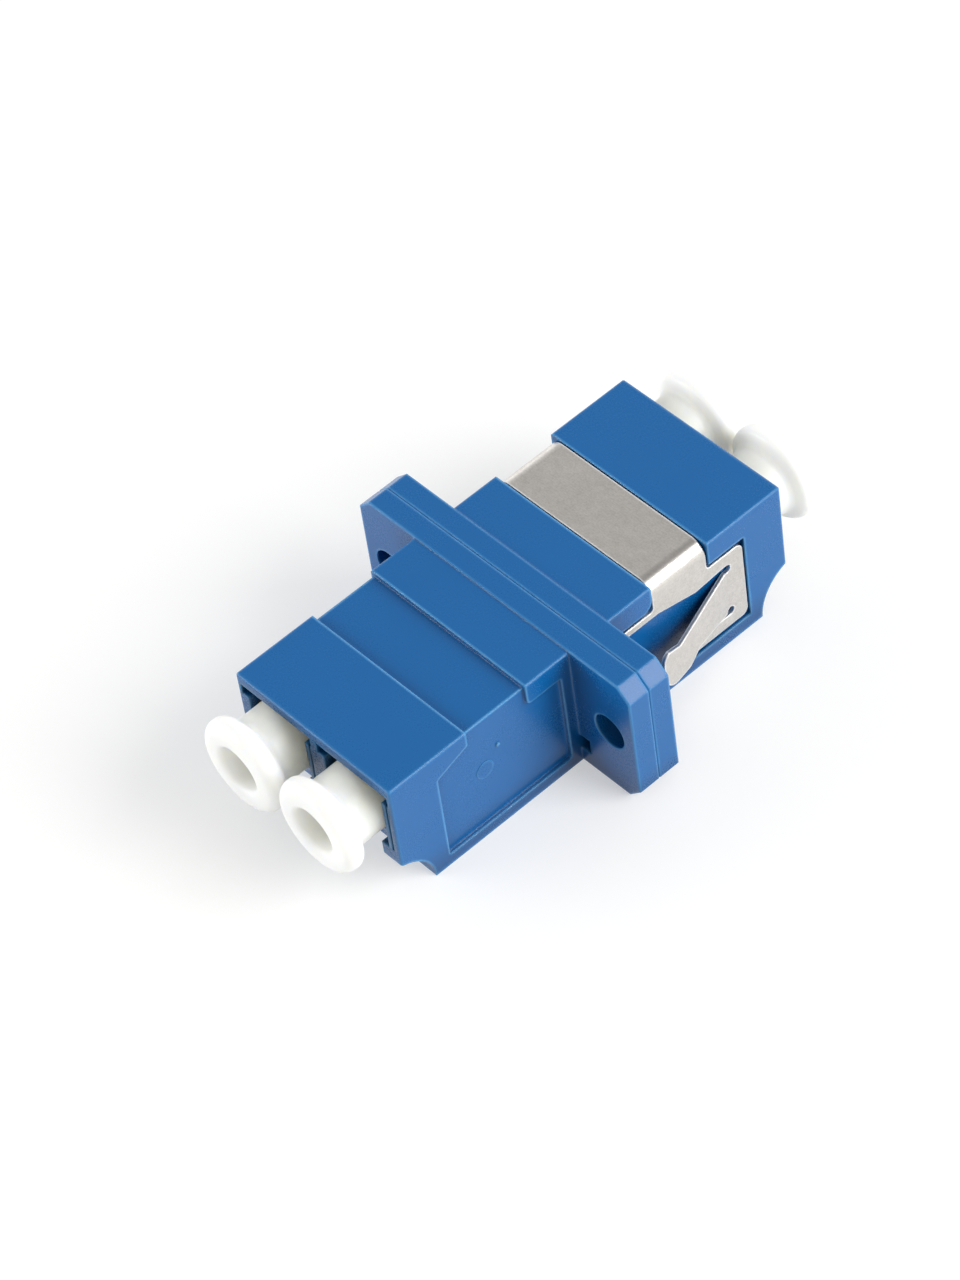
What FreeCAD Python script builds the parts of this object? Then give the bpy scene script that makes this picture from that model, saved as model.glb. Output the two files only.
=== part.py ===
"""Duplex LC fibre adapter with a screw flange, a folded spring clip and four dust plugs.

Frame, in millimetres: +Z up, +Y towards the rear ports, origin on the underside, midway
across the width, on the plane where the two welded housing halves meet.

Each housing half is drawn with its ports towards +Y. The front half is the one turned
half a turn about Z, so both halves share one set of sizes.
"""
import FreeCAD, Part
import Sketcher
import math
import os
import re

# ---------------------------------------------------------------- driving dimensions
SIZES = {
    # outer body of both halves
    "side_wall": 0.85,
    "body_height": 9.15,
    "half_length": 14.8,
    "edge_round": 0.15,
    # flange, one plate of it on each half
    "flange_width": 22.0,
    "flange_height": 9.25,
    "flange_plate": 1.5,
    "flange_chamfer": 0.9,
    "weld_bevel": 0.06,
    "rim_round": 0.08,
    "screw_edge": 2.0,
    "screw_hole": 2.3,
    # ports and the latch channels under them
    "port_pitch": 6.25,
    "port_size": 4.65,
    "port_roof": 0.675,
    "port_wall": 1.2,
    "ear_width": 0.55,
    "ear_height": 0.8,
    "ear_depth": 1.6,
    "wall_slot_land": 0.25,
    "wall_slot_width": 0.18,
    "wall_slot_depth": 0.4,
    "channel_width": 3.4,
    "channel_floor": 1.3,
    "channel_start": 3.0,
    "ledge_length": 2.2,
    "catch_length": 3.0,
    "catch_depth": 0.9,
    "scoop_radius": 2.95,
    "scoop_overhang": 0.8,
    # sleeve tubes and split sleeves
    "tube_outer": 2.9,
    "tube_lip": 0.7,
    "funnel_throat": 1.4,
    "funnel_angle": 20.0,
    "sleeve_length": 6.8,
    "sleeve_outer": 1.6,
    "sleeve_bore": 1.25,
    "sleeve_slit": 0.2,
    "sleeve_play": 0.05,
    # front half: collar, top relief, end pad, side relief
    "collar_reach": 4.75,
    "collar_skirt": 1.55,
    "relief_top": 0.3,
    "pad_length": 5.65,
    "relief_side": 0.25,
    "relief_end_land": 3.3,
    "relief_rib": 0.75,
    "relief_sill": 0.8,
    "relief_step": 0.4,
    "relief_slope": 0.9,
    "recess_round": 0.15,
    "ejector_across": 1.2,
    "ejector_stand": 0.03,
    "ejector_back": 1.05,
    "ejector_rise": 4.1,
    "pip_across": 0.26,
    "pip_stand": 0.08,
    "pip_back": 2.15,
    "pip_rise": 5.3,
    "root_slot_width": 0.8,
    "root_slot_height": 1.1,
    "root_slot_base": 1.1,
    "root_slot_web": 0.2,
    # rear half: groove and pockets for the clip
    "clip_sheet": 0.25,
    "clip_sink": 0.05,
    "clip_edge_play": 0.1,
    "clip_side_play": 0.05,
    "clip_side_sink": 0.1,
    "band_start": 4.85,
    "band_width": 4.12,
    "bend_radius": 0.75,
    "plate_drop": 2.1,
    "plate_base": 1.2,
    "plate_end_land": 3.1,
    "plate_round": 0.5,
    "pocket_land": 0.1,
    "pocket_play": 0.4,
    "pocket_sill": 0.25,
    "shoulder_round": 0.8,
    # clip arms, window and tongue
    "arm_start": 2.1,
    "arm_width": 0.45,
    "inner_round": 0.3,
    "strip_width": 0.85,
    "strip_start": 7.6,
    "tongue_root_land": 1.3,
    "tongue_angle": 12.0,
    "tongue_tip": 4.1,
    "tongue_waist": 4.8,
    "tongue_waist_drop": 1.5,
    "tongue_tip_rise": 0.4,
    "tongue_round": 0.6,
    "tongue_step_run": 1.0,
    "tongue_step_drop": 0.65,
    "tongue_toe_round": 1.2,
    "slit_width": 0.3,
    "slit_hole": 0.6,
    "window_rise": 0.75,
    "window_dip": 0.2,
    "window_dip_back": 2.4,
    # dust plugs
    "plug_play": 0.1,
    "plug_nose_grip": 0.9,
    "plug_lead": 0.3,
    "head_gap": 0.15,
    "head_stand": 3.2,
    "head_rim": 0.8,
    "flare_length": 1.3,
    "plug_hole": 2.9,
    "plug_hole_depth": 6.0,
    "plug_lip": 0.25,
}

# Places worked out from the driving dimensions.
PLACES = {
    "port_half": "port_size / 2",
    "port_x": "port_pitch / 2",
    "body_side": "port_x + port_half + side_wall",
    "port_axis_height": "body_height - port_roof - port_half",
    "port_floor": "port_axis_height - port_half",
    "port_ceiling": "port_axis_height + port_half",
    "ear_base": "port_ceiling - ear_height",
    "ear_reach": "port_half + ear_width",
    "slot_near": "port_half + wall_slot_land",
    "slot_far": "slot_near + wall_slot_width",
    "channel_half": "channel_width / 2",
    "ledge_start": "half_length - ledge_length",
    "catch_start": "ledge_start - catch_length",
    "catch_floor": "port_floor - catch_depth",
    "sleeve_end": "sleeve_length / 2",
    "tube_end": "sleeve_end + tube_lip",
    "seat_radius": "sleeve_outer / 2 + sleeve_play",
    "pad_start": "half_length - pad_length",
    "above_top": "body_height + flange_plate",
    "screw_x": "flange_width / 2 - screw_edge",
    "relief_height": "body_height - relief_top",
    "relief_x": "body_side - relief_side",
    "collar_base": "body_height - collar_skirt",
    "relief_start": "flange_plate + relief_rib",
    "relief_end": "half_length - relief_end_land",
    "relief_shoulder": "collar_base - relief_step",
    "relief_peak": "relief_shoulder + relief_slope",
    "ejector_y": "pad_start - ejector_back",
    "ejector_z": "relief_sill + ejector_rise",
    "pip_y": "pad_start - pip_back",
    "pip_z": "relief_sill + pip_rise",
    "groove_floor": "body_height - clip_sink - clip_sheet",
    "groove_start": "band_start - clip_edge_play",
    "band_end": "band_start + band_width",
    "groove_end": "band_end + clip_edge_play",
    "clip_top": "groove_floor + clip_sheet",
    "clip_outer": "body_side - clip_side_sink",
    "clip_inner": "clip_outer - clip_sheet",
    "plate_top": "body_height - plate_drop",
    "plate_end": "half_length - plate_end_land",
    "tongue_root": "plate_end - tongue_root_land",
    "before_clip": "arm_start - clip_sheet",
    "behind_clip": "plate_end + clip_sheet",
    "below_clip": "plate_base - clip_sheet",
    "above_clip": "clip_top + clip_sheet",
    "pocket_x": "clip_inner - clip_side_play",
    "pocket_start": "flange_plate + pocket_land",
    "pocket_top": "plate_top + pocket_play",
    "pocket_base": "plate_base - pocket_sill",
    "pocket_end": "plate_end + clip_edge_play",
    "bend_outer": "bend_radius + clip_sheet",
    "arm_base": "plate_top - arm_width",
    "strip_top": "plate_base + strip_width",
    "window_high": "arm_base",
    "window_low": "arm_base - window_rise",
    "slit_radius": "slit_hole / 2",
    "window_end": "window_low + slit_radius",
    "tongue_low": "strip_top + slit_width",
    "tongue_high": "window_low - slit_radius / 2",
    "tongue_step": "tongue_root - strip_start + slit_width",
    "waist_high": "tongue_high - tongue_waist_drop",
    "tip_high": "waist_high + tongue_tip_rise",
    "tip_low": "tongue_low - tongue_step_drop",
    "barrel_radius": "port_half - plug_play",
    "head_radius": "(port_pitch - head_gap) / 2",
    "plug_seat": "tube_end",
    "plug_inner": "plug_seat - plug_nose_grip",
    "plug_bore": "tube_outer / 2 + plug_play",
    "plug_end": "half_length + head_stand",
    "rim_radius": "head_rim / 2",
    "rim_corner": "rim_radius * (1 - sqrt(0.5))",
    "rim_start": "plug_end - head_rim",
    "flare_start": "rim_start - flare_length",
    "hole_radius": "plug_hole / 2",
    "hole_base": "plug_end - plug_hole_depth",
}

doc = FreeCAD.newDocument("lc_fibre_adapter")
sheet = doc.addObject("Spreadsheet::Sheet", "Sizes")
for row, (name, value) in enumerate(SIZES.items(), start=1):
    sheet.set("A%d" % row, name)
    sheet.set("B%d" % row, str(value))
    sheet.setAlias("B%d" % row, name)
doc.recompute()


def formula(text):
    """Write a formula in the sheet's names: every place is spelled out, every size is a cell."""
    def spell(match):
        word = match.group(0)
        if word in PLACES:
            return "(" + formula(PLACES[word]) + ")"
        if word in SIZES:
            return "Sizes." + word
        return word
    return re.sub(r"[a-z_]+", spell, text)


def number(text):
    """The present value of a formula, in millimetres or degrees."""
    value = sheet.evalExpression(formula(text))
    return float(getattr(value, "Value", value))


# ---------------------------------------------------------------- sketch helpers
def origin_plane(body, role):
    """One of the body's own three origin planes."""
    return [item for item in body.Origin.OriginFeatures if item.Role == role][0]


def new_sketch(body, name, plane, away="0"):
    """An empty sketch on an origin plane, moved along the plane's normal."""
    sketch = body.newObject("Sketcher::SketchObject", name)
    sketch.AttachmentSupport = [(origin_plane(body, plane), "")]
    sketch.MapMode = "FlatFace"
    sketch.setExpression("AttachmentOffset.Base.z", formula(away))
    return sketch


def fix_point(sketch, curve, end, across, up):
    """Tie one point of a sketch to a pair of formulas."""
    for kind, text in (("DistanceX", across), ("DistanceY", up)):
        index = sketch.addConstraint(Sketcher.Constraint(kind, curve, end, number(text)))
        sketch.setExpression("Constraints[%d]" % index, formula(text))


def draw_outline(sketch, points):
    """A closed outline. A point is (across, up), or (across, up, radius, side) where an arc
    leads to it, with side 1 for a centre on the left of the way there and -1 on the right."""
    places = [FreeCAD.Vector(number(p[0]), number(p[1]), 0) for p in points]
    first = sketch.GeometryCount
    count = len(points)
    for i in range(count):
        start, stop, point = places[i - 1], places[i], points[i]
        if len(point) == 2:
            curve = Part.LineSegment(start, stop)
        else:
            chord = stop - start
            radius = number(point[2])
            rise = math.sqrt(max(radius ** 2 - (chord.Length / 2) ** 2, 0.0))
            left = FreeCAD.Vector(-chord.y, chord.x, 0).normalize()
            middle = (start + stop) / 2
            centre = middle + left * rise * point[3]
            crown = centre + (middle - centre).normalize() * radius if rise > 1e-6 \
                else middle - left * radius * point[3]
            curve = Part.Arc(start, crown, stop)
        sketch.addGeometry(curve, False)
    for i in range(count):
        curve, point = first + i, points[i]
        is_arc = len(point) == 4
        end = 2 if not is_arc or point[3] > 0 else 1
        fix_point(sketch, curve, end, point[0], point[1])
        if is_arc:
            index = sketch.addConstraint(Sketcher.Constraint("Radius", curve, number(point[2])))
            sketch.setExpression("Constraints[%d]" % index, formula(point[2]))
    for i in range(count):
        nxt = (i + 1) % count
        is_arc, next_arc = len(points[i]) == 4, len(points[nxt]) == 4
        end = 2 if not is_arc or points[i][3] > 0 else 1
        start = 1 if not next_arc or points[nxt][3] > 0 else 2
        sketch.addConstraint(Sketcher.Constraint("Coincident", first + i, end, first + nxt, start))


def draw_box(sketch, left, right, low, high):
    """A closed rectangle between two pairs of formulas."""
    draw_outline(sketch, [(left, low), (right, low), (right, high), (left, high)])


def draw_circle(sketch, across, up, radius):
    """A circle about a point."""
    centre = FreeCAD.Vector(number(across), number(up), 0)
    index = sketch.addGeometry(Part.Circle(centre, FreeCAD.Vector(0, 0, 1), number(radius)), False)
    fix_point(sketch, index, 3, across, up)
    tie = sketch.addConstraint(Sketcher.Constraint("Radius", index, number(radius)))
    sketch.setExpression("Constraints[%d]" % tie, formula(radius))


# ---------------------------------------------------------------- feature helpers
def extrude(body, kind, name, sketch, length, reverse=False, both_ways=False):
    """Pad or pocket a sketch by a length."""
    before = body.Shape.Volume if body.Shape and not body.Shape.isNull() else 0.0
    feature = body.newObject("PartDesign::" + kind, name)
    feature.Profile = sketch
    feature.setExpression("Length", formula(length))
    feature.Reversed = reverse
    feature.Midplane = both_ways
    doc.recompute()
    change = body.Shape.Volume - before
    if change * (1 if kind == "Pad" else -1) <= 0:
        raise RuntimeError("%s leaves the solid as it was" % name)
    return feature


def pad_along_y(body, name, start, stop, draw):
    """Add what draw() puts in the XZ plane, from one y to another."""
    sketch = new_sketch(body, name + "_sketch", "XZ_Plane", "-(%s)" % start)
    draw(sketch)
    return extrude(body, "Pad", name, sketch, "%s - (%s)" % (stop, start), reverse=True)


def pocket_along_y(body, name, start, stop, draw):
    """Cut what draw() puts in the XZ plane, from one y to another."""
    sketch = new_sketch(body, name + "_sketch", "XZ_Plane", "-(%s)" % start)
    draw(sketch)
    return extrude(body, "Pocket", name, sketch, "%s - (%s)" % (stop, start))


def pocket_across(body, name, draw):
    """Cut what draw() puts in the YZ plane right through, both ways."""
    sketch = new_sketch(body, name + "_sketch", "YZ_Plane")
    draw(sketch)
    return extrude(body, "Pocket", name, sketch, "2 * flange_width", both_ways=True)


def pocket_outwards(body, name, start, draw):
    """Cut what draw() puts in the YZ plane, from one x out through the +X side."""
    sketch = new_sketch(body, name + "_sketch", "YZ_Plane", start)
    draw(sketch)
    return extrude(body, "Pocket", name, sketch, "flange_width", reverse=True)


def pad_outwards(body, name, start, height, draw):
    """Add what draw() puts in the YZ plane, from one x towards +X."""
    sketch = new_sketch(body, name + "_sketch", "YZ_Plane", start)
    draw(sketch)
    return extrude(body, "Pad", name, sketch, height)


def mirror(body, name, features):
    """Repeat features on the -X side."""
    before = body.Shape.Volume
    mirrored = body.newObject("PartDesign::Mirrored", name)
    mirrored.Originals = features
    mirrored.MirrorPlane = (origin_plane(body, "YZ_Plane"), [""])
    body.Tip = mirrored
    doc.recompute()
    if abs(body.Shape.Volume - before) < 1e-9:
        raise RuntimeError("%s repeats nothing" % name)
    return mirrored


def edges_where(body, test):
    """Names of the body's edges whose every vertex and middle point pass a test."""
    found = []
    for index, edge in enumerate(body.Shape.Edges, start=1):
        middle = edge.valueAt((edge.FirstParameter + edge.LastParameter) / 2)
        points = [vertex.Point for vertex in edge.Vertexes] + [middle]
        if all(test(point) for point in points):
            found.append("Edge%d" % index)
    return found


def near(value, text):
    """Whether a coordinate lies on a named place."""
    return abs(value - number(text)) < 1e-4


def soften(body, name, kind, size, test):
    """Fillet or chamfer the edges that pass a test."""
    edges = edges_where(body, test)
    if not edges:
        raise RuntimeError("%s finds no edge" % name)
    feature = body.newObject("PartDesign::" + kind, name)
    feature.Base = (body.Tip if body.Tip is not feature else feature.BaseFeature, edges)
    feature.setExpression("Radius" if kind == "Fillet" else "Size", formula(size))
    body.Tip = feature
    doc.recompute()
    return feature


def new_body(label):
    """A body whose label names its file."""
    body = doc.addObject("PartDesign::Body", label)
    body.Label = label
    return body


# ---------------------------------------------------------------- housing halves
def draw_flange(sketch):
    """The flange plate seen along Y: a rectangle with its four corners cut off."""
    side, cut, top = "flange_width / 2", "flange_chamfer", "flange_height"
    draw_outline(sketch, [
        ("-%s + %s" % (side, cut), "0"),
        ("%s - %s" % (side, cut), "0"),
        (side, cut),
        (side, "%s - %s" % (top, cut)),
        ("%s - %s" % (side, cut), top),
        ("-%s + %s" % (side, cut), top),
        ("-%s" % side, "%s - %s" % (top, cut)),
        ("-%s" % side, cut),
    ])


def draw_on_both_ports(sketch, draw):
    """Draw the same thing about the axis of each of the two ports."""
    for axis in ("-port_x", "port_x"):
        draw(sketch, axis)


def draw_port(sketch, axis):
    """The square of one port."""
    draw_box(sketch, axis + " - port_half", axis + " + port_half",
             "port_floor", "port_ceiling")


def draw_ears(sketch, axis):
    """The wider top of one port's mouth."""
    draw_box(sketch, axis + " - ear_reach", axis + " + ear_reach", "ear_base", "port_ceiling")


def draw_wall_slot(sketch, axis):
    """The narrow slot beside one port, in the end of its wall."""
    draw_box(sketch, axis + " - slot_far", axis + " - slot_near", "port_floor", "ear_base")


def draw_channel(sketch, axis):
    """The narrow latch channel under one port."""
    draw_box(sketch, axis + " - channel_half", axis + " + channel_half",
             "channel_floor", "port_axis_height")


def draw_catch(sketch, axis):
    """The wide part of the channel, behind the ledges that the latch snaps past."""
    draw_box(sketch, axis + " - port_half", axis + " + port_half",
             "catch_floor", "port_axis_height")


def round_port(radius):
    """A drawing of one circle about each port's axis."""
    def draw(sketch):
        draw_on_both_ports(sketch, lambda s, axis: draw_circle(s, axis, "port_axis_height", radius))
    return draw


def housing_half(label):
    """What both halves share: block, flange plate, two LC ports with latch channels, sleeve
    tubes with a funnel in each nose, screw holes and the thumb scoop under the port end."""
    body = new_body(label)
    pad_along_y(body, label + "_block", "0", "half_length",
                lambda s: draw_box(s, "-body_side", "body_side", "0", "body_height"))
    pad_along_y(body, label + "_flange", "0", "flange_plate", draw_flange)
    pocket_along_y(body, label + "_ports", "port_wall", "half_length",
                   lambda s: draw_on_both_ports(s, draw_port))
    pocket_along_y(body, label + "_channels", "channel_start", "half_length",
                   lambda s: draw_on_both_ports(s, draw_channel))
    pocket_along_y(body, label + "_catches", "catch_start", "ledge_start",
                   lambda s: draw_on_both_ports(s, draw_catch))
    pocket_along_y(body, label + "_ears", "half_length - ear_depth", "half_length",
                   lambda s: draw_on_both_ports(s, draw_ears))
    pocket_along_y(body, label + "_wall_slots", "half_length - wall_slot_depth", "half_length",
                   lambda s: draw_on_both_ports(s, draw_wall_slot))
    pad_along_y(body, label + "_tubes", "port_wall / 2", "tube_end", round_port("tube_outer / 2"))
    pocket_along_y(body, label + "_sleeve_seats", "0", "sleeve_end", round_port("seat_radius"))
    funnels = pocket_along_y(body, label + "_funnels", "sleeve_end", "tube_end",
                             round_port("funnel_throat / 2"))
    funnels.setExpression("TaperAngle", formula("funnel_angle"))

    def draw_screws(sketch):
        for across in ("-screw_x", "screw_x"):
            draw_circle(sketch, across, "flange_height / 2", "screw_hole / 2")

    pocket_along_y(body, label + "_screw_holes", "0", "flange_plate", draw_screws)
    pocket_across(body, label + "_scoop",
                  lambda s: draw_circle(s, "half_length + scoop_overhang", "0", "scoop_radius"))
    return body


def front_housing():
    """The front half: collar at the flange, lowered top, end pad, and framed side reliefs."""
    label = "front_housing"
    body = housing_half(label)
    pocket_across(body, label + "_top_relief",
                  lambda s: draw_box(s, "collar_reach", "pad_start", "relief_height", "above_top"))

    def draw_side(sketch):
        draw_outline(sketch, [
            ("relief_start", "relief_sill"),
            ("relief_end", "relief_sill"),
            ("relief_end", "relief_shoulder"),
            ("pad_start", "relief_peak"),
            ("pad_start", "above_top"),
            ("collar_reach", "above_top"),
            ("collar_reach", "collar_base"),
            ("relief_start", "collar_base"),
        ])

    side = pocket_outwards(body, label + "_side_relief", "relief_x", draw_side)

    def draw_root_slot(sketch):
        draw_box(sketch, "body_side", "body_side + root_slot_width",
                 "root_slot_base", "root_slot_base + root_slot_height")

    slot = pocket_along_y(body, label + "_root_slot", "root_slot_web", "flange_plate", draw_root_slot)
    ejector = pad_outwards(body, label + "_ejector_mark", "relief_x", "ejector_stand",
                           lambda s: draw_circle(s, "ejector_y", "ejector_z", "ejector_across / 2"))
    pip = pad_outwards(body, label + "_pip", "relief_x", "pip_stand",
                       lambda s: draw_circle(s, "pip_y", "pip_z", "pip_across / 2"))
    mirror(body, label + "_left_side", [side, slot, ejector, pip])
    soften(body, label + "_collar_corners", "Fillet", "inner_round",
           lambda p: near(p.y, "collar_reach") and near(p.z, "collar_base"))
    corners = [("relief_start", "relief_sill"), ("relief_end", "relief_sill"),
               ("relief_end", "relief_shoulder"), ("pad_start", "relief_peak"),
               ("relief_start", "collar_base")]
    finish_half(body, label, "relief_x", corners)
    body.Placement.Rotation = FreeCAD.Rotation(FreeCAD.Vector(0, 0, 1), 180)
    return body


def rear_housing():
    """The rear half: groove over the top and a pocket on each side for the spring clip."""
    label = "rear_housing"
    body = housing_half(label)
    pocket_across(body, label + "_groove",
                  lambda s: draw_box(s, "groove_start", "groove_end", "groove_floor", "above_top"))

    def draw_pocket(sketch):
        draw_outline(sketch, [
            ("pocket_start", "pocket_base"),
            ("pocket_end", "pocket_base"),
            ("pocket_end", "pocket_top"),
            ("groove_end", "pocket_top"),
            ("groove_end", "above_top"),
            ("groove_start", "above_top"),
            ("groove_start", "pocket_top + shoulder_round"),
            ("groove_start - shoulder_round", "pocket_top", "shoulder_round", -1),
            ("pocket_start", "pocket_top"),
        ])

    side = pocket_outwards(body, label + "_clip_pocket", "pocket_x", draw_pocket)
    mirror(body, label + "_left_pocket", [side])
    soften(body, label + "_groove_corners", "Fillet", "bend_radius - clip_side_play",
           lambda p: near(abs(p.x), "pocket_x") and near(p.z, "groove_floor"))
    corners = [("pocket_start", "pocket_base"), ("pocket_end", "pocket_base"),
               ("pocket_end", "pocket_top"), ("pocket_start", "pocket_top")]
    finish_half(body, label, "pocket_x", corners)
    return body


def finish_half(body, label, recess_x, corners):
    """Rounded corners of the side recess, a bevel on the flange's weld edge, and softly
    rounded outer edges of the block and the flange."""
    soften(body, label + "_recess_corners", "Fillet", "recess_round",
           lambda p: abs(p.x) > number(recess_x) - 1e-4
           and any(near(p.y, y) and near(p.z, z) for y, z in corners))
    soften(body, label + "_weld_bevel", "Chamfer", "weld_bevel",
           lambda p: near(p.y, "0") and on_flange_rim(p))
    soften(body, label + "_long_edges", "Fillet", "edge_round",
           lambda p: near(abs(p.x), "body_side") and near(p.z, "body_height")
           and p.y > number("flange_plate") - 1e-4)
    soften(body, label + "_end_edges", "Fillet", "edge_round",
           lambda p: near(p.y, "half_length") and near(abs(p.x), "body_side"))
    soften(body, label + "_rim_edges", "Fillet", "rim_round",
           lambda p: near(p.y, "flange_plate") and on_flange_rim(p))


def on_flange_rim(point):
    """Whether a point lies on the outer rim of the flange."""
    side, top, cut = number("flange_width / 2"), number("flange_height"), number("flange_chamfer")
    x, z = abs(point.x), point.z
    return (abs(x - side) < 1e-4 or min(abs(z), abs(z - top)) < 1e-4
            or abs(x - (side - cut) - z) < 1e-4 and z < cut
            or abs((side - x) + (top - z) - cut) < 1e-4)


# ---------------------------------------------------------------- sleeves
def split_sleeve(label, side):
    """A zirconia sleeve slit along its top. Its ends bear on the lips of both tubes."""
    body = new_body(label)

    def ring(radius):
        return lambda s: draw_circle(s, "0", "0", radius)

    pad_along_y(body, label + "_tube", "-sleeve_end", "sleeve_end", ring("sleeve_outer / 2"))
    pocket_along_y(body, label + "_bore", "-sleeve_end", "sleeve_end", ring("sleeve_bore / 2"))
    pocket_along_y(body, label + "_slit", "-sleeve_end", "sleeve_end",
                   lambda s: draw_box(s, "-sleeve_slit / 2", "sleeve_slit / 2", "0", "sleeve_outer"))
    body.setExpression("Placement.Base.x", formula("%d * port_x" % side))
    body.setExpression("Placement.Base.z", formula("port_axis_height"))
    return body


# ---------------------------------------------------------------- spring clip
def spring_clip():
    """One folded sheet: a band over the top, two side plates, each with a forward arm along
    the top, a strip along the foot and between them a lanced tongue bent outwards."""
    label = "spring_clip"
    body = new_body(label)

    def draw_bow(sketch):
        draw_outline(sketch, [
            ("-clip_outer", "plate_base"),
            ("-clip_inner", "plate_base"),
            ("-clip_inner", "groove_floor - bend_radius"),
            ("-clip_inner + bend_radius", "groove_floor", "bend_radius", -1),
            ("clip_inner - bend_radius", "groove_floor"),
            ("clip_inner", "groove_floor - bend_radius", "bend_radius", -1),
            ("clip_inner", "plate_base"),
            ("clip_outer", "plate_base"),
            ("clip_outer", "clip_top - bend_outer"),
            ("clip_outer - bend_outer", "clip_top", "bend_outer", 1),
            ("-clip_outer + bend_outer", "clip_top"),
            ("-clip_outer", "clip_top - bend_outer", "bend_outer", 1),
        ])

    def draw_front_waste(sketch):
        draw_outline(sketch, [
            ("before_clip", "plate_top"),
            ("band_start - inner_round", "plate_top"),
            ("band_start", "plate_top + inner_round", "inner_round", 1),
            ("band_start", "above_clip"),
            ("before_clip", "above_clip"),
        ])

    def draw_rear_waste(sketch):
        draw_outline(sketch, [
            ("band_end", "above_clip"),
            ("band_end", "plate_top + inner_round"),
            ("band_end + inner_round", "plate_top", "inner_round", 1),
            ("behind_clip", "plate_top"),
            ("behind_clip", "above_clip"),
        ])

    def draw_window(sketch):
        draw_outline(sketch, [
            ("before_clip", "below_clip"),
            ("strip_start", "below_clip"),
            ("strip_start", "strip_top"),
            ("tongue_root", "strip_top"),
            ("tongue_root", "window_end"),
            ("tongue_root - slit_radius", "window_end"),
            ("tongue_root - window_dip_back", "window_end - window_dip"),
            ("band_start + inner_round", "window_high"),
            ("before_clip", "window_high"),
        ])

    def draw_slit_holes(sketch):
        draw_circle(sketch, "tongue_root", "window_low", "slit_radius")
        draw_circle(sketch, "tongue_root", "strip_top + slit_radius", "slit_radius")

    pad_along_y(body, label + "_bow", "arm_start", "plate_end", draw_bow)
    pocket_across(body, label + "_front_waste", draw_front_waste)
    pocket_across(body, label + "_rear_waste", draw_rear_waste)
    pocket_across(body, label + "_window", draw_window)
    tongue = bent_tongue(body, label)
    mirror(body, label + "_left_tongue", [tongue])
    pocket_across(body, label + "_slit_holes", draw_slit_holes)
    soften(body, label + "_plate_corners", "Fillet", "plate_round",
           lambda p: near(p.y, "plate_end") and (near(p.z, "plate_base") or near(p.z, "plate_top"))
           and abs(p.x) > number("clip_inner") - 1e-4)
    return body


def bent_tongue(body, label):
    """The right-hand tongue, drawn on a plane turned outwards about its bend line. Past the
    end of the strip under it, the tongue steps down to a rounded tip."""
    sketch = new_sketch(body, label + "_tongue_sketch", "YZ_Plane", "clip_outer")
    sketch.AttachmentOffset = FreeCAD.Placement(
        FreeCAD.Vector(number("tongue_root"), 0, number("clip_outer")),
        FreeCAD.Rotation(FreeCAD.Vector(0, 1, 0), number("tongue_angle")))
    sketch.setExpression("AttachmentOffset.Base.x", formula("tongue_root"))
    sketch.setExpression("AttachmentOffset.Rotation.Angle", formula("tongue_angle"))
    reach = "-(tongue_root - tongue_tip) / cos(tongue_angle)"
    draw_outline(sketch, [
        ("clip_sheet / 2", "tongue_low"),
        ("clip_sheet / 2", "tongue_high"),
        ("-tongue_waist", "waist_high"),
        (reach + " + tongue_round", "tip_high"),
        (reach, "tip_high - tongue_round", "tongue_round", 1),
        (reach, "tip_low + tongue_toe_round"),
        (reach + " + tongue_toe_round", "tip_low", "tongue_toe_round", 1),
        ("-(tongue_step + tongue_step_run)", "tip_low"),
        ("-tongue_step", "tongue_low"),
    ])
    return extrude(body, "Pad", label + "_tongue", sketch, "clip_sheet", reverse=True)


# ---------------------------------------------------------------- dust plugs
def dust_plug(label, side, facing):
    """A turned mushroom plug: barrel in the port, flared head outside, blind hole in the head
    and a shallow bore that seats on the nose of the sleeve tube. Short cones stand for the
    round of the rim."""
    body = new_body(label)
    sketch = new_sketch(body, label + "_profile", "XY_Plane")
    draw_outline(sketch, [
        ("plug_bore", "plug_inner"),
        ("barrel_radius - plug_lead", "plug_inner"),
        ("barrel_radius", "plug_inner + plug_lead"),
        ("barrel_radius", "flare_start"),
        ("head_radius - rim_radius", "rim_start"),
        ("head_radius", "rim_start + rim_radius"),
        ("head_radius - rim_corner", "plug_end - rim_corner"),
        ("head_radius - rim_radius", "plug_end"),
        ("hole_radius + plug_lip", "plug_end"),
        ("hole_radius", "plug_end - plug_lip"),
        ("hole_radius", "hole_base"),
        ("0", "hole_base"),
        ("0", "plug_seat"),
        ("plug_bore", "plug_seat"),
    ])
    turned = body.newObject("PartDesign::Revolution", label + "_turned")
    turned.Profile = sketch
    turned.ReferenceAxis = (sketch, ["V_Axis"])
    turned.Angle = 360
    body.Tip = turned
    turn = 0 if facing > 0 else 180
    body.Placement.Rotation = FreeCAD.Rotation(FreeCAD.Vector(0, 0, 1), turn)
    body.setExpression("Placement.Base.x", formula("%d * port_x" % side))
    body.setExpression("Placement.Base.z", formula("port_axis_height"))
    return body


# ---------------------------------------------------------------- the adapter
front_housing()
rear_housing()
split_sleeve("left_sleeve", -1)
split_sleeve("right_sleeve", 1)
spring_clip()
dust_plug("front_left_plug", -1, -1)
dust_plug("front_right_plug", 1, -1)
dust_plug("rear_left_plug", -1, 1)
dust_plug("rear_right_plug", 1, 1)
doc.recompute()

for item in doc.Objects:
    faults = [state for state in item.State if state in ("Invalid", "Error")]
    if faults:
        raise RuntimeError("%s is %s" % (item.Label, ", ".join(faults)))

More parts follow.
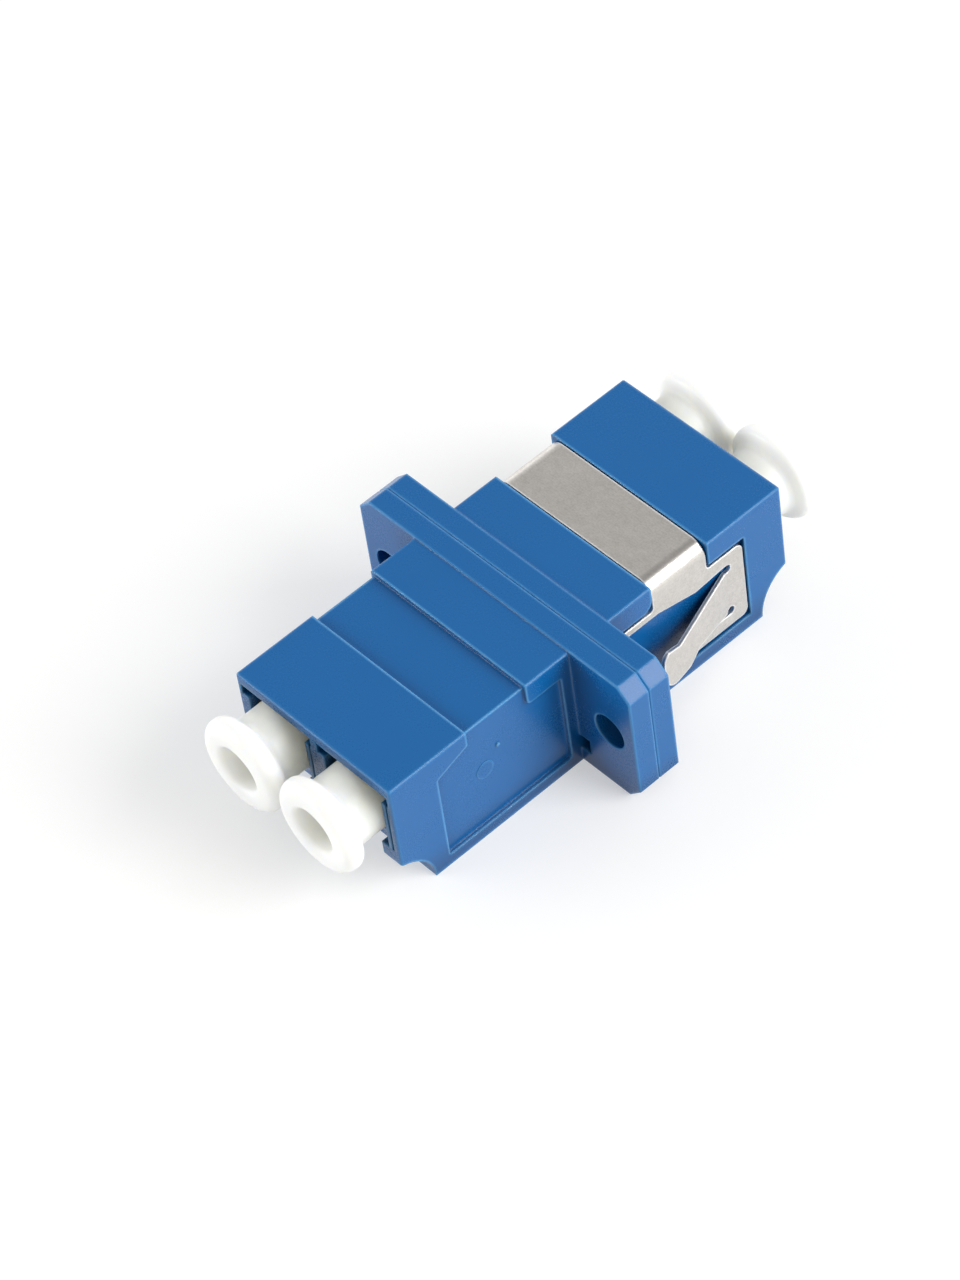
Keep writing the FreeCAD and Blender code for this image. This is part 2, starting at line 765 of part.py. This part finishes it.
pieces = [item for item in doc.Objects if item.TypeId == "PartDesign::Body"]
for piece in pieces:
    if piece.Shape.isNull() or not piece.Shape.isValid() or len(piece.Shape.Solids) != 1:
        raise RuntimeError("%s is not one sound solid" % piece.Label)

os.makedirs("parts", exist_ok=True)
for piece in pieces:
    piece.Shape.exportStep("parts/%s.step" % piece.Label)
    print("%-18s %8.3f mm3" % (piece.Label, piece.Shape.Volume))
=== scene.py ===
# %% [markdown]
# # A duplex LC fibre adapter with its dust plugs in
#
# The adapter joins two pairs of fibre connectors through a panel. Two moulded halves are
# welded along a screw flange, a folded spring clip sits round the rear half, and four soft
# plugs keep dust out of the ports. The solids come from the CAD model and stay as they are:
# this script gives them their finishes, turns smooth plugs in place of the plain ones, and
# sets up a white table, soft light and a camera.

import math

import bpy
import numpy as np
from mathutils import Matrix, Vector


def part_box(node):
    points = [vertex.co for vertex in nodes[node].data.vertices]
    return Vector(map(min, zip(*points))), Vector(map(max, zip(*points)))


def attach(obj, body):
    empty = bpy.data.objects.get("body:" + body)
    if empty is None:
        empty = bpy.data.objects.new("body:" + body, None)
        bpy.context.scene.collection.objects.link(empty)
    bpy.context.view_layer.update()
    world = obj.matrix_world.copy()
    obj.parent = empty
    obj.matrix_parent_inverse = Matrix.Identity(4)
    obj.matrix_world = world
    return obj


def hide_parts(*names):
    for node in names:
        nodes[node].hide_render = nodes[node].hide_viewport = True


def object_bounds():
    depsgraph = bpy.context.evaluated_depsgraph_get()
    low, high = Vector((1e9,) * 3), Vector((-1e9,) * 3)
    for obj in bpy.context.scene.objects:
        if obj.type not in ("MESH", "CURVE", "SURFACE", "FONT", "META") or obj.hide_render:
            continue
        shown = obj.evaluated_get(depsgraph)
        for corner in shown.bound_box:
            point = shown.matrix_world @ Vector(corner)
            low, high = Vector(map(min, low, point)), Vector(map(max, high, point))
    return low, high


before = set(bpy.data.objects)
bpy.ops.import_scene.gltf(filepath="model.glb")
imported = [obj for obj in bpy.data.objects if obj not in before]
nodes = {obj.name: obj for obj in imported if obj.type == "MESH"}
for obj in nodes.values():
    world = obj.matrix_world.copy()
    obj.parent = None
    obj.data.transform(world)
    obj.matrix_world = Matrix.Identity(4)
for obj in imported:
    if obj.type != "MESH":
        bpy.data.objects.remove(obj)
cad_low, cad_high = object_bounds()
MM = 0.001


def size_in_mm(low, high):
    """A box's three sides, high corner less low corner."""
    return [round((b - a) / MM, 2) for a, b in zip(low, high)]


print("solids:", ", ".join(sorted(nodes)))
print("size in mm:", size_in_mm(cad_low, cad_high))

# %% [markdown]
# ## Shader sums
#
# A finish is a handful of numbers that change over the surface. Each sum could be written
# node by node, but that is hard to read. So a small class wraps one socket and lets plain
# Python operators add the Math nodes: `0.3 + 0.1 * grain`. Any other node comes from its one
# method `node`.

# %% A socket that can be added up
class Wire:
    """One output socket of a node tree, or only the tree where no node is there yet."""

    def __init__(self, tree, socket=None):
        self.tree = tree
        self.socket = socket

    def node(self, kind, settings=None, out=0, **sockets):
        """A new node: its settings first, then its sockets, by name or, where two sockets
        share a name, by _number. Returns its output `out`."""
        made = self.tree.nodes.new("ShaderNode" + kind)
        for name, value in (settings or {}).items():
            setattr(made, name, value)
        for name, value in sockets.items():
            key = int(name[1:]) if name[0] == "_" else name.replace("_", " ")
            if isinstance(value, Wire):
                self.tree.links.new(value.socket, made.inputs[key])
            else:
                made.inputs[key].default_value = value
        return Wire(self.tree, made.outputs[out] if len(made.outputs) else None)

    def math(self, operation, first, second=0.0, clamp=False):
        """A Math node, clamped to 0 and 1 if asked."""
        return self.node("Math", {"operation": operation, "use_clamp": clamp}, _0=first, _1=second)

    def __add__(self, other):
        return self.math("ADD", self, other)

    def __sub__(self, other):
        return self.math("SUBTRACT", self, other)

    def __rsub__(self, other):
        return self.math("SUBTRACT", other, self)

    def __mul__(self, other):
        return self.math("MULTIPLY", self, other)

    __radd__ = __add__
    __rmul__ = __mul__

    def above_zero(self):
        """This value, or 0 where it is less."""
        return self.math("MAXIMUM", self, 0.0)

    def step(self, start, stop, low=0.0, high=1.0):
        """A soft step from `low` to `high`, as this value goes from `start` to `stop`."""
        return self.node("MapRange", {"interpolation_type": "SMOOTHSTEP"}, Value=self,
                         From_Min=start, From_Max=stop, To_Min=low, To_Max=high)

    def blend(self, low, high):
        """A colour between two colours, by this value."""
        return self.node("Mix", {"data_type": "RGBA"}, out=2, _0=self, _6=low, _7=high)

    def noise(self, size, detail=2.0, roughness=0.5, stretch=(1, 1, 1)):
        """Noise whose lumps are about `size` metres across, longer where stretch is over 1."""
        scale = [1 / (size * s) for s in stretch]
        place = self.node("Mapping", Vector=self, Scale=scale)
        return place.node("TexNoise", Vector=place, Scale=1.0, Detail=detail, Roughness=roughness)

    def feed(self, shader, name):
        """Link this value to a named input of a shader."""
        self.tree.links.new(self.socket, shader.inputs[name])


# %% [markdown]
# ## One shader for each finish
#
# Plastic, steel and ceramic differ in a few constants and in what varies over them. Each
# could mix shaders of its own, but the Principled shader holds them all, so every finish
# starts from one. The real edges are softer than the solids': rounding them in the shading
# costs no triangles.

# %% Start a finish
finishes = {}


def new_finish(name, **constants):
    """A material with one Principled shader, its constants set on the shader's own sockets.
    Returns the shader and the Object coordinates to draw patterns with."""
    material = finishes[name] = bpy.data.materials.new(name)
    material.use_nodes = True
    tree = material.node_tree
    shader = tree.nodes["Principled BSDF"]
    for key, value in constants.items():
        shader.inputs[key.replace("_", " ")].default_value = value
    return shader, Wire(tree).node("TexCoord", out="Object")


def add_bumps(shader, height, depth, radius):
    """Raise the surface by `height` (0 to 1) times `depth` metres, and round its edges to a
    radius, both in the shading alone."""
    rounded_edge = height.node("Bevel", {"samples": 6}, Radius=radius)
    bump = height.node("Bump", Height=height, Distance=depth, Normal=rounded_edge)
    bump.feed(shader, "Normal")


def say_nodes(name):
    """Print how large a finish has become."""
    print(name, "is made of", len(finishes[name].node_tree.nodes), "nodes")


# %% [markdown]
# ## Edges and crevices
#
# Along an edge the plastic and steel get a painted highlight, and down in a gap the plastic gets
# painted shade. Such places could be painted on a map, but every piece would need its own. Short rays
# find them on any piece: sent back into the material, they meet the next face at once near an edge,
# and sent outwards, they are stopped in a gap.

# %% Find the edges and the crevices
def open_sky(place, reach):
    """The share of the rays sent out from the surface that meet nothing within `reach`: 1 in
    the open, 0 in a closed gap."""
    return place.node("AmbientOcclusion", {"samples": 4}, out="AO", Distance=reach)


def edge_mask(place, width):
    """1 on an outer edge, falling to 0 about `width` away: the share of rays sent back into
    the piece that meet another of its faces within `width`, times a gain."""
    gain = 2.3
    free = place.node("AmbientOcclusion", {"inside": True, "only_local": True, "samples": 8},
                      out="AO", Distance=width)
    return free.math("MULTIPLY", 1.0 - free, gain, clamp=True)


def crevice_mask(place, near, far):
    """0 in the open, rising to 1 in a tight slot and to `corner_most` in a corner or a wide
    hole. It adds how much of the sky is hidden between the distances `near` and `far` to how
    far more than half of it is hidden within `near`. A shallow seam and the foot of a low
    wall stay as they are."""
    corner_gain, corner_most = 1.4, 0.6
    slot_gain, slot_sky = 2.5, 0.5
    close, wide = open_sky(place, near), open_sky(place, far)
    corner = close.math("MINIMUM", corner_gain * (close - wide), corner_most)
    slot = slot_gain * (slot_sky - close).above_zero()
    return close.math("ADD", corner, slot, clamp=True)


# %% [markdown]
# ## The housing plastic
#
# The halves are moulded in a blue engineering plastic. Spark-eroded mould walls leave a faint satin
# grain, the cooling plastic sinks a little, and gloss differs slightly from place to place. A scanned
# texture could show that, but it needs a UV map and repeats itself, so the patterns are noises in
# Object coordinates. A deep base colour on a satin surface does most of the work, the grain is a very
# fine bump, and broad noise shifts gloss and colour by a few percent. Along the edges the colour is a
# painted highlight, a paler blue, and the edges are a little glossier. Down in slots and gaps the
# colour is painted shade, a very deep blue.

# %% Housing plastic
def housing_plastic():
    blue = (0.001, 0.116, 0.354, 1.0)
    shade = (0.001, 0.107, 0.332, 1.0)
    # pale is the colour of the painted highlight along the edges, deep the colour of the painted
    # shade in slots and gaps.
    pale = (0.090, 0.370, 0.720, 1.0)
    deep = (0.001, 0.022, 0.075, 1.0)
    shader, place = new_finish("housing_plastic", IOR=1.46)
    broad = place.noise(5 * MM, detail=3.0)
    grain = place.noise(0.09 * MM, detail=2.0)
    waves = place.noise(2.2 * MM, detail=1.0)
    # Painted highlight: edges found by the edge mask get the paler blue, and the same mask makes them
    # a little glossier.
    edge_highlight = edge_mask(place, width=0.18 * MM) * (0.5 + 0.6 * broad)
    skin = edge_highlight.blend(broad.blend(blue, shade), pale)
    # Painted shade: slots, gaps and corners found by the crevice mask are blended towards the deep
    # blue.
    crevice_mask(place, near=0.35 * MM, far=2.5 * MM).blend(skin, deep).feed(shader, "Base Color")
    (0.2 + 0.1 * broad + 0.05 * grain - 0.06 * edge_highlight).feed(shader, "Roughness")
    add_bumps(shader, 0.25 * grain + 0.75 * waves, depth=0.012 * MM, radius=0.22 * MM)


housing_plastic()
say_nodes("housing_plastic")

# %% [markdown]
# ## The spring steel
#
# The clip is punched and folded from thin stainless strip. Rolling and tumbling leave fine
# scratches along the strip and small dull specks, so a flat band shows a soft mottled sheen.
# An anisotropic shader could smear the highlight, but it can't show the specks. Stretching a noise
# along X gives the scratches, and two rounder noises give the specks and cloud the gloss. Where a
# punched edge lies open, it gets a painted highlight: near white and matt, as if the edge caught the
# light. A punched sheet is never quite flat, so a broad, shallow wave bends what it mirrors.

# %% Clip steel
def clip_steel():
    bright = (0.84, 0.805, 0.765, 1.0)
    dull = (0.53, 0.505, 0.475, 1.0)
    edge_glint = (0.95, 0.94, 0.92, 1.0)
    contrast, offset = 2.2, -0.6
    least_sky, sky_gain = 0.6, 2.5
    shader, place = new_finish("clip_steel")
    scratch = place.noise(0.05 * MM, detail=3.0, stretch=(14, 1, 1))
    speck = place.noise(0.12 * MM, detail=2.0)
    cloud = place.noise(0.5 * MM, detail=5.0, roughness=0.7)
    waves = place.noise(2.4 * MM, detail=1.0)
    mixed = 0.3 * scratch + 0.35 * speck + 0.35 * cloud
    mottle = mixed.math("ADD", contrast * mixed, offset, clamp=True)
    sky = open_sky(place, 0.3 * MM)
    in_open = sky.math("MULTIPLY", sky - least_sky, sky_gain, clamp=True)
    # Painted highlight: open punched edges are blended to a near-white colour and made less metallic,
    # as if they caught the light.
    edge = edge_mask(place, width=0.12 * MM) * in_open
    edge.blend(mottle.blend(bright, dull), edge_glint).feed(shader, "Base Color")
    (1.0 - 0.8 * edge).feed(shader, "Metallic")
    (0.2 + 0.12 * scratch + 0.1 * cloud).feed(shader, "Roughness")
    add_bumps(shader, 0.05 * scratch + 0.95 * waves, depth=0.05 * MM, radius=0.11 * MM)


clip_steel()
say_nodes("clip_steel")

# %% [markdown]
# ## The plug plastic
#
# The dust plugs are a soft, milky white plastic. Light enters it and comes out again a millimetre or
# two away, so shaded sides stay warm and pale. A plain white would turn grey there, and a glass-like
# plastic takes very long to render, so this is subsurface scattering, with red travelling furthest.
# The barrel's thin wall loses light into the dark port and the housing shades it, so the barrel gets
# a painted shade: a greyer colour than the thick head's, fading into it along the plug.

# %% Plug plastic
def plug_plastic():
    milk = (0.96, 0.955, 0.90, 1.0)
    cream = (0.94, 0.935, 0.87, 1.0)
    barrel_shade = (0.82, 0.815, 0.73, 1.0)
    head_at, fade = cad_high.y - 1.3 * MM, 1.4 * MM
    shader, place = new_finish(
        "plug_plastic", IOR=1.46, Subsurface_Weight=0.9,
        Subsurface_Radius=(1.0, 0.9, 0.7), Subsurface_Scale=2.2 * MM)
    along = place.node("SeparateXYZ", out="Y", Vector=place)
    # Painted shade: the barrel gets the greyer colour, fading into the head's colour along the plug.
    solid = along.math("ABSOLUTE", along).step(head_at - fade, head_at)
    cloud = place.noise(3 * MM, detail=2.0)
    solid.blend(barrel_shade, cloud.blend(milk, cream)).feed(shader, "Base Color")
    (0.34 + 0.12 * cloud).feed(shader, "Roughness")
    sink = place.noise(0.9 * MM, detail=3.0)
    sink.node("Bump", Height=sink, Distance=0.01 * MM).feed(shader, "Normal")


plug_plastic()
say_nodes("plug_plastic")

# %% [markdown]
# ## The sleeve ceramic
#
# Deep in the ports, split sleeves of polished zirconia line up the fibres. The ceramic is a
# warm white, much glossier than the plugs. It could scatter light inside as they do, but
# nobody would see that in a dark tube, so a plain glossy white is enough.

# %% Sleeve ceramic
def sleeve_ceramic():
    white, ivory = (0.90, 0.88, 0.84, 1.0), (0.86, 0.84, 0.79, 1.0)
    shader, place = new_finish("sleeve_ceramic", IOR=2.1)
    cloud = place.noise(1 * MM)
    cloud.blend(white, ivory).feed(shader, "Base Color")
    (0.08 + 0.06 * cloud).feed(shader, "Roughness")


sleeve_ceramic()
say_nodes("sleeve_ceramic")

# %% [markdown]
# ## A rounded outline
#
# A dust plug is a barrel that fills the port, a thick round head to pull it by, and a blind
# hole that keeps the moulded wall even. The solid draws the head's round rim with a few
# cones, and subdividing that solid would pinch its corners. So each plug is made again from
# its outline: corner points, each with the radius of its round. Rounding the outline before
# it is turned keeps every round a true arc, which a bevel on loose triangles would not.

# %% Round the corners of an outline
def straight(start, stop, step):
    """The points between two ends, start + t (stop - start), the ends left out."""
    count = int(np.ceil(np.linalg.norm(stop - start) / step))
    return start + np.linspace(0, 1, count + 1)[1:-1, None] * (stop - start)


def rounded(corners, step, turns=8):
    """Points along an outline given as (across, along, radius) corners, a `step` apart on
    the straights and `turns` steps round an arc. At a corner, the arc's centre lies on the
    bisector at radius / sin(half the angle), and the points turn evenly about it from one
    straight to the next."""
    corners = np.array(corners, dtype=float)
    points, last = [corners[:1, :2]], corners[0, :2]
    turn = np.linspace(0.0, 1.0, turns + 1)[:, None]
    for before, corner, after in zip(corners[:-2], corners[1:-1], corners[2:]):
        here, radius = corner[:2], corner[2]
        back, on = before[:2] - here, after[:2] - here
        back, on = back / np.linalg.norm(back), on / np.linalg.norm(on)
        half = math.acos(np.clip(back @ on, -1, 1)) / 2
        centre = here + (back + on) / np.linalg.norm(back + on) * radius / math.sin(half)
        start = here + back * radius / math.tan(half) - centre
        stop = here + on * radius / math.tan(half) - centre
        swing = math.pi - 2 * half
        bend = (np.sin((1 - turn) * swing) * start + np.sin(turn * swing) * stop) / math.sin(swing)
        points += [straight(last, bend[0] + centre, step), bend + centre]
        last = bend[-1] + centre
    points += [straight(last, corners[-1, :2], step), corners[-1:, :2]]
    return np.concatenate(points)


square_corner = rounded([(0, 0, 0), (2, 0, 1), (2, 2, 0)], step=0.5)
print("a square corner is rounded by", len(square_corner), "points")

# %% [markdown]
# ## Turned on a lathe
#
# A plug is round about the port's axis. The Screw modifier could turn the outline too, but
# leaves a ring of points at each pole. Here the outline and the angles make one grid of
# points at once, and a single point closes each end.

# %% Turn an outline into a closed skin
def turned(name, outline, axis, facing, around=96):
    """A mesh swept about an axis along Y. A point (r, d) of the outline at angle a lands on
    (axis x + facing r cos a, facing d, axis z + r sin a). The outline starts and ends on the
    axis, so its two ends are single points, each closed by a fan."""
    ring = np.linspace(0, 2 * np.pi, around, endpoint=False)
    across, along = outline[1:-1, 0, None], outline[1:-1, 1, None]
    grid = np.stack([axis[0] + facing * across * np.cos(ring),
                     facing * along + 0 * ring,
                     axis[1] + across * np.sin(ring)], axis=2).reshape(-1, 3)
    ends = [(axis[0], facing * outline[i, 1], axis[1]) for i in (0, -1)]
    rows, here = len(outline) - 2, np.arange(around)
    nxt = (here + 1) % around
    row = (np.arange(rows - 1) * around)[:, None]
    quads = np.stack([row + here, row + nxt, row + nxt + around, row + here + around], axis=2)
    first, last = rows * around, rows * around + 1
    top = (rows - 1) * around
    fans = np.concatenate([np.stack([first + 0 * here, nxt, here], axis=1),
                           np.stack([top + here, top + nxt, last + 0 * here], axis=1)])
    faces = quads.reshape(-1, 4).tolist() + fans.tolist()
    mesh = bpy.data.meshes.new(name)
    mesh.from_pydata(np.concatenate([grid, ends]), [], faces)
    mesh.polygons.foreach_set("use_smooth", np.ones(len(mesh.polygons), dtype=bool))
    piece = bpy.data.objects.new(name, mesh)
    bpy.context.scene.collection.objects.link(piece)
    print(name, "has", len(mesh.vertices), "points")
    return piece


# %% [markdown]
# ## Dress the solids
#
# Each solid came with an empty material slot named after its finish. New slots could be
# added instead, but the part's record knows its finishes by these names, so the materials
# go into the slots that are there.

# %% Put each finish in its slot
for name, solid in sorted(nodes.items()):
    for slot in solid.material_slots:
        slot.material = finishes[slot.material.name.split(".")[0]]
    print(name, "wears", [slot.material.name for slot in solid.material_slots])

# %% [markdown]
# ## The four plugs
#
# The plugs are alike, two facing forwards and two backwards. One mesh could serve all four,
# but each is drawn out by itself, so each is a mesh of its own that rides on its own body.
# The length and the head's width are read from the solid's box, and the other sizes are the
# drawing's.

# %% Turn the plugs
def smooth_plug(node):
    """A plug in place of the solid `node`: a disc head with a round rim, a short flare down to
    the barrel, a chamfered tip with a shallow core hole, and the deep hole in the head."""
    low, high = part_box(node)
    facing = 1 if low.y > 0 else -1
    tip, end = sorted((abs(low.y), abs(high.y)))
    head, axis = (high.x - low.x) / 2, ((low.x + high.x) / 2, (low.z + high.z) / 2)
    # The other radii, places along the port, the chamfer, and the radii of the rounds.
    hole, barrel, core = 1.45 * MM, 2.225 * MM, 1.55 * MM
    hole_base, core_base = end - 6.0 * MM, tip + 0.9 * MM
    head_back, flare_foot = end - 1.1 * MM, end - 1.6 * MM
    chamfer_in, chamfer_long = 0.3 * MM, 0.25 * MM
    rim, neck, lip, soft, crisp = 0.65 * MM, 0.5 * MM, 0.32 * MM, 0.3 * MM, 0.1 * MM
    outline = rounded([
        (0, hole_base, 0),
        (hole, hole_base, soft),
        (hole, end, lip),
        (head, end, rim),
        (head, head_back, neck),
        (barrel, flare_foot, neck),
        (barrel, tip + chamfer_long, soft),
        (barrel - chamfer_in, tip, crisp),
        (core, tip, crisp),
        (core, core_base, crisp),
        (0, core_base, 0),
    ], step=0.2 * MM)
    piece = turned(node + "_smooth", outline, axis, facing)
    piece.data.materials.append(finishes["plug_plastic"])
    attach(piece, node)
    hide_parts(node)


for name in sorted(nodes):
    if name.endswith("_plug"):
        smooth_plug(name)

# %% [markdown]
# ## Table
#
# The adapter lies on a white table. A white background alone would be simpler, but then the
# adapter floats: it needs something to cast its shadow on. A table lit by lamps alone comes
# out grey, so the camera sees it about a third as plain white and the rest as lit. It stays
# clean that way, and still carries the shadow.

# %% Table
def white_to_camera(lit, strength, share):
    """A shader that is `lit` for most rays, and for camera, mirror and glass rays it is plain
    white by `share`."""
    camera, glossy, clear = (lit.node("LightPath", out="Is %s Ray" % kind)
                             for kind in ("Camera", "Glossy", "Transmission"))
    seen = camera.math("MAXIMUM", camera, camera.math("MAXIMUM", glossy, clear))
    plain = seen.node("Emission", Color=(1, 1, 1, 1), Strength=strength)
    return seen.node("MixShader", _0=seen * share, _1=lit, _2=plain)


def table():
    """A square sheet, `half` metres each way from the middle, a hair under the adapter."""
    half, gap = 2.0, 0.002 * MM
    under = cad_low.z - gap
    mesh = bpy.data.meshes.new("table")
    corners = [(-half, -half), (half, -half), (half, half), (-half, half)]
    mesh.from_pydata([(x, y, under) for x, y in corners], [], [(0, 1, 2, 3)])
    top = bpy.data.objects.new("table", mesh)
    bpy.context.scene.collection.objects.link(top)

    material = bpy.data.materials.new("table_white")
    material.use_nodes = True
    material.node_tree.nodes.clear()
    lit = Wire(material.node_tree).node("BsdfDiffuse", Color=(0.88, 0.88, 0.87, 1.0))
    shown = white_to_camera(lit, strength=1.32, share=0.32)
    shown.node("OutputMaterial", Surface=shown)
    mesh.materials.append(material)
    print("table at z =", round(under / MM, 4), "mm")


table()

# %% [markdown]
# ## Room
#
# Everything glossy mirrors the room, so the room draws the steel. A studio panorama could
# stand for it, but a few soft steps of brightness are easier to place: a pale room, a little
# dimmer at the horizon, with a darker ceiling and a bright backdrop behind the adapter. A
# bend in the steel shows the ceiling as a dark line beside its highlight.

# %% Room
def room():
    """The light from each way: a soft rise from `horizon` to `wall_top` with height, less a
    soft step down to `ceiling` overhead, plus `backdrop` times how far the way points at it,
    times 1 - `backdrop_fade` times the height."""
    horizon, wall_top, ceiling = 0.42, 0.57, 0.26
    wall_up, ceiling_from, ceiling_to = 0.6, 0.78, 0.92
    backdrop, backdrop_fade, backdrop_way = 1.6, 1.6, (-0.55, 0.83, 0.0)
    world = bpy.data.worlds.new("room")
    bpy.context.scene.world = world
    world.use_nodes = True
    world.node_tree.nodes.clear()
    way = Wire(world.node_tree).node("TexCoord", out="Generated")
    up = way.node("SeparateXYZ", out="Z", Vector=way)
    rise = up.step(0.0, wall_up, horizon, wall_top)
    dim = up.step(ceiling_from, ceiling_to, 0.0, wall_top - ceiling)
    behind = way.node("VectorMath", {"operation": "DOT_PRODUCT"}, out="Value",
                      _0=way, _1=backdrop_way)
    wall = behind.above_zero() * (1.0 - backdrop_fade * up).above_zero()
    light = up.node("Background", Color=(1, 1, 1, 1), Strength=rise - dim + backdrop * wall)
    light.node("OutputWorld", Surface=light)
    print("the room gives", horizon, "at the horizon and", ceiling, "overhead")


room()

# %% [markdown]
# ## Softboxes
#
# The adapter stands between two softboxes. Point lamps would do, but they leave small hard
# glints, and a softbox draws the broad highlights of a product shot. The key stands to the
# right behind the adapter, low enough to be mirrored in the corners of the flange and in the
# folds of the clip. The fill stands low at the front left and lights the heads of the front
# plugs.

# %% Softboxes
def softbox(name, toward, distance, width, height, radiance):
    """A rectangular lamp, seen from the adapter's middle in direction `toward`. Its power is
    radiance times pi times its area."""
    middle = Vector((0, 0, 4.6)) * MM
    lamp = bpy.data.lights.new(name, "AREA")
    lamp.shape = "RECTANGLE"
    lamp.size, lamp.size_y = width, height
    lamp.energy = radiance * math.pi * width * height
    holder = bpy.data.objects.new(name, lamp)
    bpy.context.scene.collection.objects.link(holder)
    way = Vector(toward).normalized()
    holder.location = middle + way * distance
    holder.rotation_euler = way.to_track_quat("Z", "Y").to_euler()
    print(name, "gives", round(lamp.energy, 3), "W")


softbox("key", (0.753, 0.386, 0.533), distance=0.6, width=0.38, height=0.44, radiance=6.3)
softbox("fill", (-0.72, -0.66, 0.25), distance=0.6, width=0.45, height=0.25, radiance=6.0)

# %% [markdown]
# ## Camera
#
# A small part is drawn most truly by a long lens from some way off: a wide lens close by
# would spread its near end. It looks down from well above the front right corner, tipped a
# little to one side, so that the adapter runs from lower left to upper right of a tall
# picture.

# %% Camera
def camera(azimuth, elevation, roll, distance, aim, lens):
    """A camera that looks at `aim`, in millimetres, from a compass angle a and a height angle
    e. It stands at aim + distance (sin a cos e, -cos a cos e, sin e), turned by `roll` about
    its own axis."""
    data = bpy.data.cameras.new("camera")
    data.sensor_fit, data.sensor_height, data.lens = "VERTICAL", 36.0, lens
    data.clip_start, data.clip_end = 0.01, 10.0
    holder = bpy.data.objects.new("camera", data)
    bpy.context.scene.collection.objects.link(holder)
    side, rise = math.radians(azimuth), math.radians(elevation)
    back = Vector((math.sin(side) * math.cos(rise), -math.cos(side) * math.cos(rise), math.sin(rise)))
    right = Vector((math.cos(side), math.sin(side), 0))
    up = back.cross(right)
    tip = math.radians(roll)
    right, up = right * math.cos(tip) + up * math.sin(tip), up * math.cos(tip) - right * math.sin(tip)
    turn = Matrix((right, up, back)).transposed().to_4x4()
    holder.matrix_world = Matrix.Translation(Vector(aim) * MM + back * distance) @ turn
    bpy.context.scene.camera = holder
    print("camera at", [round(x / MM, 1) for x in holder.location], "mm")


camera(azimuth=54.11, elevation=48.85, roll=-9.18, distance=281.04 * MM,
       aim=(-1.204, -1.788, 4.6), lens=141.45)

# %% [markdown]
# ## The view
#
# A filmic view would soften the highlights and shift the blue, so the view transform is the plain
# one, and colours come out as written.

# %% Finish
bpy.context.scene.view_settings.view_transform = "Standard"
